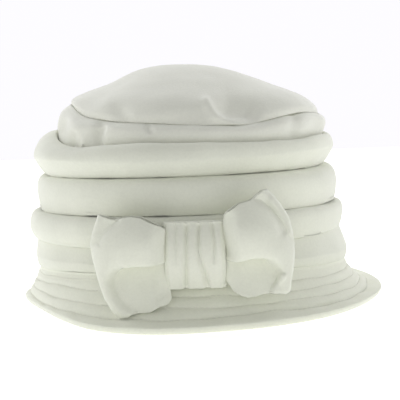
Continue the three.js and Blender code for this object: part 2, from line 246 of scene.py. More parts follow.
def mesh_piece(name, points, faces, material):
    """A smooth object from points in mm, with its faces turned outwards."""
    mesh = bpy.data.meshes.new(name)
    mesh.from_pydata((np.asarray(points, float) * MM).tolist(), [], faces)
    mesh.validate()
    shell = bmesh.new()
    shell.from_mesh(mesh)
    bmesh.ops.recalc_face_normals(shell, faces=shell.faces)
    shell.to_mesh(mesh)
    shell.free()
    mesh.polygons.foreach_set("use_smooth", [True] * len(mesh.polygons))
    mesh.materials.append(material)
    piece = bpy.data.objects.new(name, mesh)
    bpy.context.scene.collection.objects.link(piece)
    return piece


def ring_faces(rows, columns):
    """Faces of a wall whose rows and columns both close on themselves."""
    faces = []
    for i in range(rows):
        k = (i + 1) % rows
        for j in range(columns):
            n = (j + 1) % columns
            faces.append((i * columns + j, i * columns + n, k * columns + n, k * columns + j))
    return faces


def closed_wall(name, grid, material):
    """A wall from its closed outline, given as outline point x station round the head x 3."""
    rows, columns = grid.shape[:2]
    return mesh_piece(name, grid.reshape(-1, 3), ring_faces(rows, columns), material)


def grid_normals(grid, wraps):
    """Unit normals of a grid of points, with rows along axis 0."""
    if wraps:
        across = np.roll(grid, -1, axis=1) - np.roll(grid, 1, axis=1)
    else:
        across = np.gradient(grid, axis=1)
    along = np.gradient(grid, axis=0)
    normals = np.cross(across, along)
    return normals / (np.linalg.norm(normals, axis=2, keepdims=True) + 1e-9)


def grid_faces(rows, columns, first, flip):
    faces = []
    for i in range(rows - 1):
        for j in range(columns - 1):
            a = first + i * columns + j
            quad = (a, a + 1, a + columns + 1, a + columns)
            faces.append(quad[::-1] if flip else quad)
    return faces


def thick_sheet(name, front, back, material):
    """A closed sheet of cloth from its two faces, each a grid of points."""
    rows, columns = front.shape[:2]
    half = rows * columns
    faces = grid_faces(rows, columns, 0, False) + grid_faces(rows, columns, half, True)
    last = (rows - 1) * columns
    for j in range(columns - 1):
        faces.append((j + 1, j, half + j, half + j + 1))
        faces.append((last + j, last + j + 1, half + last + j + 1, half + last + j))
    for i in range(rows - 1):
        a = i * columns
        b = a + columns - 1
        faces.append((a, a + columns, half + a + columns, half + a))
        faces.append((b + columns, b, half + b, half + b + columns))
    points = np.concatenate([front.reshape(-1, 3), back.reshape(-1, 3)])
    return mesh_piece(name, points, faces, material)


# ---- Materials ----

POLAR_FLEECE = {"crown": "#E7E8DD", "side": "#E5E7D9", "brim": "#E9EBDC", "bow": "#E6E8DA"}
THREAD_WHITE = "#E2E2D6"
NAP_CLUMP = 1.6  # mm across a clump of brushed fibre, drawn coarse enough to show
NAP_FINE = 0.7
FADE_PATCH = 34  # mm across the faint patches of the dyed cloth


def linear(hex_colour):
    """A colour in linear light from sRGB hex."""
    values = [int(hex_colour[i : i + 2], 16) / 255 for i in (1, 3, 5)]
    light = [v / 12.92 if v <= 0.04045 else ((v + 0.055) / 1.055) ** 2.4 for v in values]
    return (*light, 1.0)


def add_node(tree, kind, settings=None, links=None):
    """A node of the tree, with its settings (properties or inputs) and what its inputs take."""
    node = tree.nodes.new(kind)
    for key, value in (settings or {}).items():
        if isinstance(key, int) or key in node.inputs:
            node.inputs[key].default_value = value
        else:
            setattr(node, key, value)
    for key, source in (links or {}).items():
        tree.links.new(source, node.inputs[key])
    return node


def per_mm(size):
    """A noise scale, in cells per metre, for cells of that many millimetres."""
    return 1 / (size * MM)


def polar_fleece(name, hex_colour):
    """Polyester polar fleece: knitted, then brushed. The nap makes it matt, with a soft pale
    edge where it turns away, small clumps of fibre and hardly any shine."""
    material = bpy.data.materials.new(name)
    material.use_nodes = True
    tree = material.node_tree
    tree.nodes.clear()
    place = add_node(tree, "ShaderNodeTexCoord").outputs["Object"]
    clump = add_node(
        tree,
        "ShaderNodeTexNoise",
        {"Scale": per_mm(NAP_CLUMP), "Detail": 2.0, "Roughness": 0.6},
        {"Vector": place},
    )
    fine = add_node(
        tree,
        "ShaderNodeTexNoise",
        {"Scale": per_mm(NAP_FINE), "Detail": 1.0},
        {"Vector": place},
    )
    patch = add_node(
        tree,
        "ShaderNodeTexNoise",
        {"Scale": per_mm(FADE_PATCH), "Detail": 2.0},
        {"Vector": place},
    )
    shade = add_node(
        tree,
        "ShaderNodeMapRange",
        {"From Min": 0.3, "From Max": 0.7, "To Min": 0.965, "To Max": 1.02},
        {"Value": patch.outputs["Fac"]},
    )
    nap_shade = add_node(
        tree,
        "ShaderNodeMapRange",
        {"From Min": 0.3, "From Max": 0.7, "To Min": 0.975, "To Max": 1.015},
        {"Value": clump.outputs["Fac"]},
    )
    total = add_node(
        tree,
        "ShaderNodeMath",
        {"operation": "MULTIPLY"},
        {0: shade.outputs["Result"], 1: nap_shade.outputs["Result"]},
    )
    tint = add_node(
        tree,
        "ShaderNodeVectorMath",
        {"operation": "SCALE", 0: linear(hex_colour)[:3]},
        {"Scale": total.outputs["Value"]},
    )
    nap = add_node(
        tree,
        "ShaderNodeMath",
        {"operation": "MULTIPLY_ADD", 1: 0.4},
        {0: fine.outputs["Fac"], 2: clump.outputs["Fac"]},
    )
    bump = add_node(
        tree,
        "ShaderNodeBump",
        {"Strength": 0.35, "Distance": 0.5 * MM},
        {"Height": nap.outputs["Value"]},
    )
    cloth = add_node(
        tree,
        "ShaderNodeBsdfPrincipled",
        {
            "Roughness": 0.95,
            "Specular IOR Level": 0.2,
            "Sheen Weight": 0.45,
            "Sheen Roughness": 0.5,
        },
        {"Base Color": tint.outputs["Vector"], "Normal": bump.outputs["Normal"]},
    )
    add_node(tree, "ShaderNodeOutputMaterial", None, {"Surface": cloth.outputs["BSDF"]})
    return material


def sewing_thread():
    """Spun polyester sewing thread: pale and smooth, with a faint silky shine."""
    material = bpy.data.materials.new("sewing_thread")
    material.use_nodes = True
    shader = material.node_tree.nodes["Principled BSDF"]
    shader.inputs["Base Color"].default_value = linear(THREAD_WHITE)
    shader.inputs["Roughness"].default_value = 0.55
    shader.inputs["Sheen Weight"].default_value = 0.2
    return material


CROWN_FLEECE = polar_fleece("crown_polar_fleece", POLAR_FLEECE["crown"])
SIDE_FLEECE = polar_fleece("side_polar_fleece", POLAR_FLEECE["side"])
BRIM_FLEECE = polar_fleece("quilted_brim_fleece", POLAR_FLEECE["brim"])
BOW_FLEECE = polar_fleece("bow_polar_fleece", POLAR_FLEECE["bow"])
SEWING_THREAD = sewing_thread()


# ---- The pleated side ----

LAP = 3  # how far the side and the brim run in under each other at their seam
TUCK_DEPTH = 6  # how far in the stitches of a tuck lie
TUCK_RISE = 1.4  # and how far above its groove
TUCK_END = 0.7  # and how far the fold runs on past them
LIP = 0.25  # half the space between two rolls that touch
SIDE_LAP_UP = 0.9  # how far above the brim's seam the side's hidden edge ends
SIDE_SEAM_UP = 0.2  # and the side itself begins
ARC_STEPS = 11  # points along each quarter of a roll
UNDERSIDE = 1.7  # how far the underside of a roll is cut away
SHOULDER = 0.8  # and how full its top is: both as in quarter()
BASE_TOP = 2.1  # the same for the top of the foot below the rolls
THIRD_UNDERSIDE = 1.2


def moved(point, out, up):
    """A ring, as radius and height, moved out and up."""
    return point + np.array([[out], [up]])


def top_roll(angle):
    """The top of the highest roll."""
    top = ring("first_top", angle)
    top[1] += waves(TOP_ROLL_WAVES, angle)
    return top


def tuck(groove):
    """The folded line from one roll in to the stitches and out to the next roll's lip."""
    return [
        moved(groove, -TUCK_DEPTH * 0.5, TUCK_RISE * 0.5 - LIP),
        moved(groove, -TUCK_DEPTH, TUCK_RISE - LIP),
        moved(groove, -TUCK_DEPTH - TUCK_END, TUCK_RISE),
        moved(groove, -TUCK_DEPTH, TUCK_RISE + LIP),
        moved(groove, -TUCK_DEPTH * 0.5, TUCK_RISE * 0.5 + LIP),
        moved(groove, 0, LIP),
    ]


def underside(below, crest):
    """A roll's lower half, from the groove below it out to its crest."""
    return quarter(moved(below, 0, LIP), crest, ARC_STEPS, True, UNDERSIDE)


def shoulder(crest, above):
    """A roll's upper half, from its crest in to the groove above it."""
    return quarter(crest, moved(above, 0, -LIP), ARC_STEPS, False, SHOULDER)


def side_line(angle):
    """The side's outer face from bottom to top: its foot, three rolls, and in to the band."""
    seam = ring("brim_seam", angle)
    crest = ring("base_crest", angle)
    crease = ring("base_crease", angle)
    third = ring("third_crest", angle)
    lower = ring("lower_groove", angle)
    second = ring("second_crest", angle)
    upper = ring("upper_groove", angle)
    first = ring("first_crest", angle)
    top = top_roll(angle)
    line = [moved(seam, -LAP, SIDE_LAP_UP), moved(seam, 0, SIDE_SEAM_UP)]
    line += quarter(seam, crest, ARC_STEPS, True)
    line += quarter(crest, crease, ARC_STEPS, False, BASE_TOP)
    line += quarter(crease, third, ARC_STEPS, True, THIRD_UNDERSIDE)
    line += shoulder(third, lower)
    line += tuck(lower)
    line += underside(lower, second)
    line += shoulder(second, upper)
    line += tuck(upper)
    line += underside(upper, first)
    line += quarter(first, top, ARC_STEPS, False)
    line += quarter(top, moved(ring("band_lap", angle), GAP, 0), ARC_STEPS, True)
    line += [moved(ring("band_foot", angle), GAP, 0)]
    return np.array(line)


SOFT_LUMPS = [{"size": 30, "out": 0.8}, {"size": 12, "out": 0.35}]


def softened(grid, seed, share):
    """The cloth's outer face with its share of soft lumps, different for each seed."""
    normals = grid_normals(grid, True)
    for row in SOFT_LUMPS:
        lumps = uneven(grid, row["size"], seed) * row["out"] * share
        grid = grid + normals * lumps[:, :, None]
    return grid


def walled(name, outer, thick, material):
    """A closed wall with that outer face, and an inner face set in by its thickness."""
    inner = outer - grid_normals(outer, True) * thick
    return closed_wall(name, np.concatenate([outer, inner[::-1]]), material)


def pleated_side():
    """The side: one length of fleece tucked into rolls."""
    angle = station_angles()
    outer = round_head(side_line(angle), angle)
    outer = softened(outer, 1, 1)
    return walled("pleated_side_cloth", outer, WALL, SIDE_FLEECE)


# ---- The plain band above the rolls ----

BAND_FOLDS = [
    {"at": -66, "wide": 10, "out": -2.2},
    {"at": -50, "wide": 9, "out": 1.6},
    {"at": -36, "wide": 6, "out": -1.8},
    {"at": 64, "wide": 12, "out": -1.6},
    {"at": 130, "wide": 14, "out": -1.6},
    {"at": 205, "wide": 12, "out": -1.8},
]
BAND_STEPS = 40


def tip_seam(angle):
    """The seam between the band and the tip."""
    seam = ring("band_rim", angle)
    seam[1] += waves(TIP_SEAM_WAVES, angle)
    return seam


def band_line(angle):
    """The band's outer face, from its foot inside the top roll up to the tip's seam."""
    foot = ring("band_foot", angle)
    lap = ring("band_lap", angle)
    waist = ring("band_waist", angle)
    rim = tip_seam(angle)
    top = top_roll(angle)
    fold = waves(BAND_FOLDS, angle)
    keys = [
        foot,
        lap,
        np.array([lap[0] + 0.2, mix(lap[1], top[1], 0.6)]),
        np.array([mix(lap[0], waist[0], 0.2), top[1] + 0.5]),
        np.array([waist[0] + fold, waist[1]]),
        np.array([mix(waist[0], rim[0], 0.3) + fold * 0.6, mix(waist[1], rim[1], 0.62)]),
        moved(rim, -SEAM_SINK * 0.8, 0),
    ]
    return spline(keys, BAND_STEPS)


# Folds and puckers seen from the front, in x from the head's centre line and z, with the
# half width of each and how far out it stands.
BAND_PUCKERS = [
    {"line": [(-48.5, 112), (-50.3, 107), (-50, 99)], "wide": 2.6, "out": -2.2},
    {"line": [(-59, 105), (-59.5, 99)], "wide": 2.4, "out": 1.2},
    {"line": [(-67, 106), (-66.5, 99)], "wide": 3, "out": -1.4},
    {"line": [(-20.5, 111), (-19.2, 109.5)], "wide": 1.6, "out": -1.5},
    {"line": [(66, 113), (64, 104)], "wide": 4, "out": -1.5},
]


def pushed(grid, folds):
    """The front of the grid pushed out along its normals by folds."""
    x = grid[:, :, 0] - AXIS_X
    front = smooth(AXIS_Y - grid[:, :, 1], 0, 20)
    out = folds_out(x, grid[:, :, 2], folds) * front
    return grid + grid_normals(grid, True) * out[:, :, None]


def crown_band():
    """The plain band between the rolls and the tip."""
    angle = station_angles()
    outer = pushed(round_head(band_line(angle), angle), BAND_PUCKERS)
    outer = softened(outer, 2, 0.6)
    return walled("crown_band_cloth", outer, WALL, CROWN_FLEECE)


# ---- The crown tip ----

POLE = {"x": -5, "y": 3, "z": 149}  # the top of the dome, from the head's centre line
DOME = [  # from the seam to the top: shares of the way out and up
    {"out": 1, "up": 0},
    {"out": 0.97, "up": 0.15},
    {"out": 0.91, "up": 0.31},
    {"out": 0.82, "up": 0.44},
    {"out": 0.67, "up": 0.59},
    {"out": 0.51, "up": 0.75},
    {"out": 0.34, "up": 0.89},
    {"out": 0.18, "up": 0.97},
    {"out": 0.0002, "up": 1},
]
DENTS = [  # where in degrees and how far up, how wide and tall, and how far out
    {"at": -78, "up": 0.5, "wide": 60, "tall": 0.45, "out": -3.4},
    {"at": 66, "up": 0.5, "wide": 50, "tall": 0.45, "out": -1.8},
    {"at": 150, "up": 0.35, "wide": 40, "tall": 0.34, "out": -4},
    {"at": 215, "up": 0.3, "wide": 30, "tall": 0.3, "out": -3},
]
DIMPLE_LIP = [(13, 124.5), (15.5, 120.5), (19, 116.5), (25, 113), (33, 110.8), (42, 109.8)]
TIP_FOLDS = [
    {"line": [(27, 121.5), (37, 119.5)], "wide": 7, "out": -5},
    {"line": [(-14, 119.5), (-2, 121), (8, 123.5)], "wide": 4, "out": 0.5},
    {"line": DIMPLE_LIP, "wide": 2.7, "out": 1.9},
    {"line": [(-12, 115), (2, 116), (10, 116)], "wide": 4, "out": -1},
    {"line": [(-37, 120), (-35, 117)], "wide": 5, "out": -1.6},
    {"line": [(-54, 119), (-45, 124.5)], "wide": 4, "out": 0.8},
]
SEAM_SINK = 1.3  # how far the cloth dips at the seam
SEAM_SHARE = 0.15  # the share of the dome that dips
DOME_ROWS = 80


def dent(angle, up):
    """How far the tip's broad dents push it out."""
    total = np.zeros_like(angle)
    for row in DENTS:
        away = angle_between(angle, math.radians(row["at"]))
        side = hump(away, math.radians(row["wide"]))
        total += row["out"] * side * hump(up - row["up"], row["tall"])
    return total * smooth(up, 0, 0.15)


def crown_tip():
    """The round top: a soft dome that dips at its seam."""
    angle = station_angles()
    rim = tip_seam(angle)
    rows = []
    for out, up in spline([(row["out"], row["up"]) for row in DOME], DOME_ROWS):
        push = dent(angle, up) - SEAM_SINK * max(0, 1 - up / SEAM_SHARE) ** 2
        radius = rim[0] * out + push * 0.8
        x = AXIS_X + POLE["x"] * (1 - out) + radius * np.sin(angle)
        y = AXIS_Y + POLE["y"] * (1 - out) - radius * np.cos(angle)
        z = mix(rim[1] + GAP, POLE["z"], up) + dent(angle, up) * 0.6
        rows.append(np.stack([x, y, z], axis=1))
    outer = softened(pushed(np.array(rows), TIP_FOLDS), 3, 0.7)
    return walled("crown_tip_cloth", outer, WALL, CROWN_FLEECE)


# ---- The brim: two layers quilted by stitched rows, with a plain hem ----

BRIM_THICK = 3
ROWS = 4  # of stitches
HEM_SHARE = 0.285  # the share of the brim's width that the plain hem takes
ROW_STEPS = 14  # points across each quilted row
QUILT = 0.9  # how deep a stitched row sinks
SEAM_SWELL = 0.5  # how far the cloth puffs up at the seam
SEAM_SWELL_ROWS = 0.25  # and over how much of the first row
ROW_WANDER = 0.06  # how far a row strays, as a share of the space between rows
HEM_STEPS = 14
HEM_ROUND = 0.7  # how rounded the hem is, from 0, a straight slope, to 1
HEM_NOSE = 4.2  # height of the hem's outermost line
HEM_TURN = [  # how the hem turns in below that line, down to the floor
    {"in": 0.1, "up": 3},
    {"in": 0.7, "up": 1.8},
    {"in": 1.8, "up": 0.8},
    {"in": 3.2, "up": 0.2},
]
REST_NEAR = 4.4  # the flat ring it rests on starts this far in from the brim's edge
REST_FAR = 9  # and ends this far in
UNDER_THICK = 0.7 * BRIM_THICK  # how far in and down from the top the underside lies
UNDER_SHARES = (0.02, 0.15, 0.3, 0.42, 0.55, 0.65, 0.75)  # its points, as shares of the way down
UNDER_CLEAR = 0.4  # the least that they stay off the floor
BRIM_LAP_UP = 0.4  # how far above the seam the brim's hidden edge ends


def hem_share(angle):
    """The hem's share of the brim's width at each angle."""
    return HEM_SHARE + waves(HEM_WAVES, angle)


def brim_slope(angle, share):
    """The brim's plain slope, a share of the way down from the seam to the edge."""
    seam = ring("brim_seam", angle)
    bend = ring("brim_bend", angle)
    edge = ring("brim_edge", angle)
    first = (1 - share) ** 2
    middle = 2 * share * (1 - share)
    last = share**2
    r = first * seam[0] + middle * bend[0] + last * (edge[0] + waves(EDGE_WAVES, angle))
    z = first * (seam[1] - GAP) + middle * bend[1] + last * BRIM_THICK
    return np.array([r, z])


# At the front left the rows crowd up towards the seam, and the first one hardly shows.
CROWDED_AT = [{"at": -48, "wide": 62, "out": 1}]
CROWDED = (0, 0.5, 0.7, 0.35, 0)  # by how many rows, from the seam to the hem
CROWDED_FAINT = (0, 1, 0, 0, 0)
ROW_PULL = (0, 0.9, 1, 1, 1.5)  # how tight each row is sewn


def row_share(row, angle):
    """How far down the brim a stitched row runs: hand-guided, so it wanders a little."""
    wander = np.sin(7 * angle + 2.1 * row) + 0.7 * np.sin(19 * angle + 4 * row)
    wander = ROW_WANDER * min(row, 1) * wander
    crowded = CROWDED[row] * waves(CROWDED_AT, angle)
    return (1 - hem_share(angle)) * (row + wander - crowded) / ROWS


def row_depth(row, angle):
    """How deep a stitched row sinks: the padding gives more in some places."""
    uneven_pull = 0.35 * np.sin(11 * angle + 1.7 * row) + 0.3 * np.sin(29 * angle + 3 * row)
    faint = 0.8 * CROWDED_FAINT[row] * waves(CROWDED_AT, angle)
    return QUILT * ROW_PULL[row] * (1 + uneven_pull) * (1 - faint)


def sunk(line, depth):
    """A point of the brim's slope drawn in square to it."""
    return line - np.array([0.6 * depth, 0.8 * depth])


def quilted_top(angle):
    """The quilted rows' upper line: cushions between stitched rows that sink."""
    top = []
    for row in range(ROWS):
        for step in range(ROW_STEPS):
            t = step / ROW_STEPS
            puff = math.sin(math.pi * t) ** 0.6
            share = mix(row_share(row, angle), row_share(row + 1, angle), t)
            sink = mix(row_depth(row, angle), row_depth(row + 1, angle), t) * (1 - puff)
            swell = SEAM_SWELL * max(0, 1 - (row + t) / SEAM_SWELL_ROWS)
            top.append(sunk(brim_slope(angle, share), sink) + swell)
    return top


def hem_roll(angle):
    """The hem: cloth rolled over to the edge, from the last stitched row."""
    start = sunk(brim_slope(angle, row_share(ROWS, angle)), row_depth(ROWS, angle))
    edge = brim_slope(angle, 1)
    nose = np.array([edge[0], np.full_like(edge[1], HEM_NOSE)])
    line = [start]
    for i in range(1, HEM_STEPS + 1):
        t = i / HEM_STEPS * math.pi / 2
        reach = math.sin(t)
        drop = mix(reach, 1 - math.cos(t), HEM_ROUND)
        line.append(start + (nose - start) * np.array([[reach], [drop]]))
    for row in HEM_TURN:
        line.append(np.array([edge[0] - row["in"], np.full_like(edge[1], row["up"])]))
    return line


def brim_line(angle):
    """The closed outline of the brim's cut: underside, resting ring, hem and quilted top."""
    seam = ring("brim_seam", angle)
    edge = brim_slope(angle, 1)
    under = []
    for share in UNDER_SHARES:
        top = brim_slope(angle, share)
        under.append(np.array([top[0] - UNDER_THICK, np.maximum(UNDER_CLEAR, top[1] - UNDER_THICK)]))
    start = moved(seam, -LAP, BRIM_LAP_UP - BRIM_THICK)
    floor = np.zeros_like(edge[1])
    rest = [np.array([edge[0] - REST_FAR, floor]), np.array([edge[0] - REST_NEAR, floor])]
    upper = [moved(seam, -LAP, BRIM_LAP_UP), *quilted_top(angle), *hem_roll(angle)]
    return np.array([start, *under, *rest, *upper[::-1]])


def quilted_brim():
    """The brim: two layers quilted together, flared out to its hem."""
    angle = station_angles()
    grid = round_head(brim_line(angle), angle)
    return closed_wall("quilted_brim", grid[::-1], BRIM_FLEECE)


STITCH_PITCH = 3.2
STITCH_LONG = 2.3
STITCH_THICK = 0.45
STITCH_LIFT = 0.12  # how far the thread stands out of its row
STITCH_SIDES = 5
STITCH_SHAPE = [  # shares of its length and of its thickness
    {"along": -0.5, "thick": 0.3},
    {"along": -0.35, "thick": 0.9},
    {"along": 0, "thick": 1},
    {"along": 0.35, "thick": 0.9},
    {"along": 0.5, "thick": 0.3},
]


def stitch_faces(first):
    """Faces of one stitch: a tube closed at both ends."""
    faces = [tuple(first + j for j in range(STITCH_SIDES))]
    for i in range(len(STITCH_SHAPE) - 1):
        low = first + i * STITCH_SIDES
        for j in range(STITCH_SIDES):
            n = (j + 1) % STITCH_SIDES
            faces.append((low + j, low + n, low + STITCH_SIDES + n, low + STITCH_SIDES + j))
    last = first + (len(STITCH_SHAPE) - 1) * STITCH_SIDES
    faces.append(tuple(last + STITCH_SIDES - 1 - j for j in range(STITCH_SIDES)))
    return faces


def row_point(row, angle):
    """The bottom of a stitched row, as a point of the hat."""
    at = np.array([float(angle)])
    line = sunk(brim_slope(at, row_share(row, at)), row_depth(row, at))
    return round_head(np.array([line + STITCH_LIFT]), at)[0, 0]


def stitch_points(row, angle):
    """Points of one stitch, in rings of a few round its thread."""
    middle = row_point(row, angle)
    along = row_point(row, angle + 0.01) - middle
    along /= np.linalg.norm(along)
    side = np.cross(along, (0, 0, 1))
    side /= np.linalg.norm(side)
    up = np.cross(side, along)
    points = []
    for part in STITCH_SHAPE:
        centre = middle + along * STITCH_LONG * part["along"]
        for j in range(STITCH_SIDES):
            turn = TURN * j / STITCH_SIDES
            out = side * math.cos(turn) + up * math.sin(turn)
            points.append(centre + out * STITCH_THICK / 2 * part["thick"])
    return points


def brim_stitching():
    """The rows of thread that quilt the brim."""
    points = []
    faces = []
    for row in range(1, ROWS + 1):
        reach = np.linalg.norm((row_point(row, 0) - row_point(row, math.pi))[:2])
        count = round(math.pi * reach / STITCH_PITCH)
        for k in range(count):
            faces += stitch_faces(len(points))
            points += stitch_points(row, TURN * k / count)
    return mesh_piece("brim_stitching", points, faces, SEWING_THREAD)


# ---- The bow ----

LAYER = 2  # thickness of the bow's cloth
BOW_DEEP = 113  # from the head's centre line out to the middle of the bow
BOW_BACK = 5  # how far the outer ends bend back towards the hat
GATHERED = 0.31  # the share of a loop's way that the knot hides
GATHERED_HALF = 1.6  # half a loop's depth in the knot
LOOP_HALF = 6  # and out of it
LOOP_FOOT = 0.55  # how open its foot is, as a share of that
LAYERS_APART = 2.4  # the least between the middles of a loop's two layers
LOOP_LEAN = 5.4  # how far a loop's foot leans out over the brim
LOOP_WAY = 230  # points along a loop's strip, out and back
LOOP_UP = 110
LOOP_LUMPS = {"size": 12, "out": 0.4}

# Each loop seen from the front, in x from the head's centre line and z: where its strip
# starts in the knot, how far its foot is tucked under, its outer end from bottom to top,
# and its low and high edges on the way from the knot to that end.
BOW_LEFT = {
    "start": 3.7,
    "under": 3.5,
    "end": [
        {"up": 0, "x": -38.5},
        {"up": 0.06, "x": -42.2},
        {"up": 0.19, "x": -46.3},
        {"up": 0.39, "x": -49.7},
        {"up": 0.57, "x": -52},
        {"up": 0.71, "x": -53.2},
        {"up": 0.83, "x": -51.8},
        {"up": 1, "x": -48.1},
    ],
    "edges": [
        {"past": 0, "low": 31, "high": 52},
        {"past": 0.03, "low": 20.5, "high": 56.3},
        {"past": 0.06, "low": 17.5, "high": 57.3},
        {"past": 0.14, "low": 14.1, "high": 58.6},
        {"past": 0.21, "low": 13, "high": 59.8},
        {"past": 0.36, "low": 10.8, "high": 62.6},
        {"past": 0.51, "low": 10.4, "high": 63.4},
        {"past": 0.65, "low": 10.3, "high": 62.8},
        {"past": 0.75, "low": 9.6, "high": 62.2},
        {"past": 0.83, "low": 8.8, "high": 62.6},
        {"past": 1, "low": 7.8, "high": 64.5},
    ],
}
BOW_RIGHT = {
    "start": 4.3,
    "under": 0,
    "end": [
        {"up": 0, "x": 53.5},
        {"up": 0.02, "x": 55.4},
        {"up": 0.11, "x": 56.1},
        {"up": 0.23, "x": 57.4},
        {"up": 0.38, "x": 58.2},
        {"up": 0.48, "x": 58.3},
        {"up": 0.6, "x": 57.4},
        {"up": 0.7, "x": 56.4},
        {"up": 0.79, "x": 53.9},
        {"up": 0.86, "x": 51.3},
        {"up": 0.94, "x": 48.1},
        {"up": 1, "x": 44.5},
    ],
    "edges": [
        {"past": 0, "low": 31, "high": 52},
        {"past": 0.02, "low": 27, "high": 61},
        {"past": 0.06, "low": 25.5, "high": 63.4},
        {"past": 0.11, "low": 22.7, "high": 64.3},
        {"past": 0.15, "low": 20.5, "high": 65},
        {"past": 0.19, "low": 19.6, "high": 65.5},
        {"past": 0.28, "low": 18.1, "high": 67},
        {"past": 0.37, "low": 17, "high": 68.4},
        {"past": 0.5, "low": 17.5, "high": 69.1},
        {"past": 0.6, "low": 18.5, "high": 69.6},
        {"past": 0.72, "low": 19, "high": 72},
        {"past": 0.88, "low": 18.9, "high": 75},
        {"past": 1, "low": 18.5, "high": 75},
    ],
}

# The front of each loop, in the same x and z. Its cloth swells along "swells" (half width
# and height), sinks into a cup inside "cup" (with how soft the cup's edge is there), droops
# over it along "lip", and has small folds.
LEFT_FRONT = {
    "lip": [(-8, 38.6), (-23, 38.6), (-32, 38.6)],
    "swells": [
        {"x": -8, "z": 45.5, "wide": 9, "high": 1.2},
        {"x": -14, "z": 46, "wide": 12, "high": 4},
        {"x": -20, "z": 47.5, "wide": 14.5, "high": 7.6},
        {"x": -29, "z": 48, "wide": 15.4, "high": 8},
        {"x": -34, "z": 47, "wide": 14.6, "high": 7.6},
        {"x": -38.5, "z": 45, "wide": 12.4, "high": 6.8},
        {"x": -42.5, "z": 41.4, "wide": 10, "high": 5.8},
        {"x": -45.4, "z": 36, "wide": 8.4, "high": 4.2},
        {"x": -46, "z": 29, "wide": 7, "high": 3},
        {"x": -44, "z": 21.5, "wide": 6, "high": 2.2},
        {"x": -40.5, "z": 15, "wide": 5, "high": 1.6},
        {"x": -36, "z": 11.5, "wide": 4, "high": 1},
    ],
    "cup": [
        {"x": -6, "z": 39.8, "soft": 1.2},
        {"x": -14, "z": 39.8, "soft": 1.2},
        {"x": -23, "z": 39.8, "soft": 1.3},
        {"x": -31, "z": 39.7, "soft": 2},
        {"x": -37, "z": 38, "soft": 4},
        {"x": -42.5, "z": 35.6, "soft": 7},
        {"x": -46.6, "z": 31.5, "soft": 9},
        {"x": -47, "z": 26, "soft": 9},
        {"x": -45, "z": 19, "soft": 9},
        {"x": -39.5, "z": 12, "soft": 8},
        {"x": -31, "z": 8, "soft": 6},
        {"x": -26, "z": 4, "soft": 3},
        {"x": -6, "z": 4, "soft": 3},
    ],
    "folds": [
        {"line": [(-15, 36), (-30, 36), (-38, 34.6)], "wide": 2.6, "out": -2},
        {"line": [(-15.9, 27.2), (-14.3, 22.5), (-16.8, 18)], "wide": 1.5, "out": -2.4},
        {"line": [(-11.5, 20), (-13, 17)], "wide": 2.4, "out": 1.8},
        {"line": [(-37.3, 61.4), (-44.8, 54), (-47.7, 49.1)], "wide": 1.4, "out": -1.2},
        {"line": [(-49, 61), (-51.5, 54)], "wide": 3, "out": 1},
    ],
}
RIGHT_SHOULDER = [(36, 71.6), (42, 69.4), (46.5, 64.8), (49.6, 58.6), (51.8, 52.5)]
RIGHT_FRONT = {
    "lip": [(24, 38.6), (32, 40.8), (40, 41)],
    "swells": [
        {"x": 16, "z": 47, "wide": 9, "high": 0.3},
        {"x": 21, "z": 47, "wide": 12, "high": 2.8},
        {"x": 26, "z": 49, "wide": 15, "high": 6.2},
        {"x": 30, "z": 51, "wide": 17.2, "high": 8.6},
        {"x": 35, "z": 51.6, "wide": 17.4, "high": 8.8},
        {"x": 39, "z": 50, "wide": 15.6, "high": 8.2},
        {"x": 43, "z": 47, "wide": 12.6, "high": 7.2},
        {"x": 47, "z": 43.6, "wide": 10.2, "high": 6.2},
        {"x": 51, "z": 39.5, "wide": 8.4, "high": 4.4},
        {"x": 53.2, "z": 34, "wide": 7, "high": 3.4},
        {"x": 54, "z": 28, "wide": 5.6, "high": 2.4},
        {"x": 54.4, "z": 22, "wide": 4, "high": 1.4},
    ],
    "cup": [
        {"x": 14, "z": 38.2, "soft": 1.2},
        {"x": 21.4, "z": 38.6, "soft": 1.2},
        {"x": 25.8, "z": 39.2, "soft": 1.3},
        {"x": 30.2, "z": 40.6, "soft": 1.6},
        {"x": 34.1, "z": 42, "soft": 2.4},
        {"x": 38, "z": 42.4, "soft": 3},
        {"x": 43, "z": 41.8, "soft": 4.5},
        {"x": 48, "z": 39, "soft": 7},
        {"x": 52.4, "z": 34, "soft": 8},
        {"x": 53.2, "z": 29, "soft": 8},
        {"x": 51, "z": 24, "soft": 5},
        {"x": 47.3, "z": 20, "soft": 3},
        {"x": 44, "z": 16, "soft": 2},
        {"x": 40, "z": 9, "soft": 2},
        {"x": 14, "z": 9, "soft": 3},
    ],
    "folds": [
        {"line": [(24, 35.8), (32, 38), (40, 38.4)], "wide": 2.6, "out": -2},
        {"line": [(21.5, 61), (21.5, 44)], "wide": 4, "out": -4},
        {"line": [(22, 27), (23.2, 23.5)], "wide": 1.8, "out": -2.6},
        {"line": [(46, 21.8), (49, 24.6), (51.9, 28.4)], "wide": 1.3, "out": 2},
        {"line": RIGHT_SHOULDER, "wide": 2.4, "out": -2},
        {"line": [(48.1, 70), (52.6, 63.2), (55.2, 58), (56.6, 52)], "wide": 2.2, "out": 1.4},
    ],
}
LIP_DROOP = 2.2  # how far the front hangs over its cup
LIP_REACH = 5  # and how far round the lip
CUP_DEEP = 8  # how deep a loop's cup is under its lip
CUP_FOOT = {"z": 14, "share": 0.4}  # it is shallower at its foot
CUP_TOP = {"z": 35, "share": 1}
CUP_MOUTH = 0.85  # and its share beside the knot


def swells_high(x, z, rows):
    """How high the cloth swells at each point."""
    keys = [(row["x"], row["z"], row["wide"], row["high"]) for row in rows]
    best = np.zeros(x.shape)
    for mid_x, mid_z, wide, high in spline(keys, 8 * (len(keys) - 1) + 1):
        away = ((x - mid_x) ** 2 + (z - mid_z) ** 2) / wide**2
        best = np.maximum(best, high * (1 - away))
    return best


